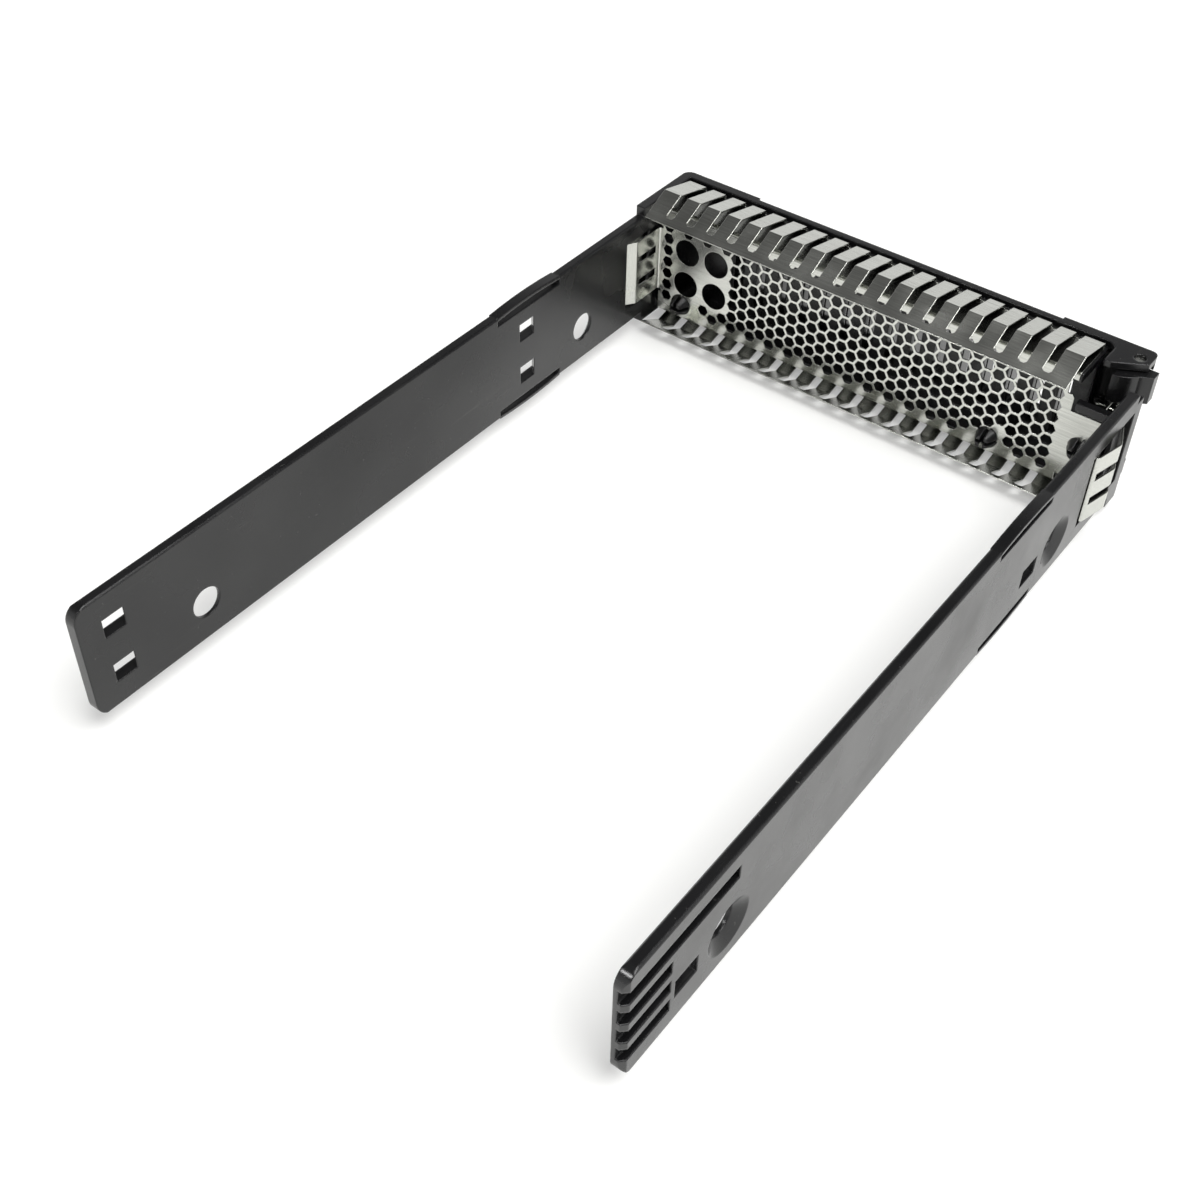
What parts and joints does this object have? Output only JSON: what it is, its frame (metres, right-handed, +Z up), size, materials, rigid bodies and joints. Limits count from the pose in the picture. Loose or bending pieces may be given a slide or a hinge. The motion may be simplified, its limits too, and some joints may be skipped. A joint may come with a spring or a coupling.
{
  "type": "hard drive caddy",
  "caption": "Open-backed carrier for a disk drive: two side rails on a vented front bezel, a perforated steel shield with spring fingers, and a hinged ejector lever.",
  "frame": {"origin": "under the middle of the caddy, at the height of its lowest spring fingers", "axes": "+X to the lever's pivot side, +Y from the open end to the front bezel, +Z up"},
  "size_m": [0.1098, 0.1642, 0.0315],
  "materials": {
    "black_plastic": "satin moulded",
    "stainless_sheet": "bright rolled sheet",
    "lever_plastic": "satin moulded",
    "pin_steel": "drawn",
    "spring_steel": "drawn wire"
  },
  "bodies": {
    "carrier": {"carrier_frame": "black_plastic", "emi_shield": "stainless_sheet", "lever_pin": "pin_steel", "lever_spring": "spring_steel"},
    "lever": {"ejector_lever": "lever_plastic"}
  },
  "joints": [
    {"name": "lever_hinge", "type": "hinge", "parent": "carrier", "child": "lever", "pos_m": [0.04905, 0.0787, 0.01575], "axis": [0, 0, -1], "range_deg": [0, 40], "stiffness_Nm_per_rad": 0.02, "springref_deg": -22.92, "deforming": ["lever_spring"]}
  ]
}
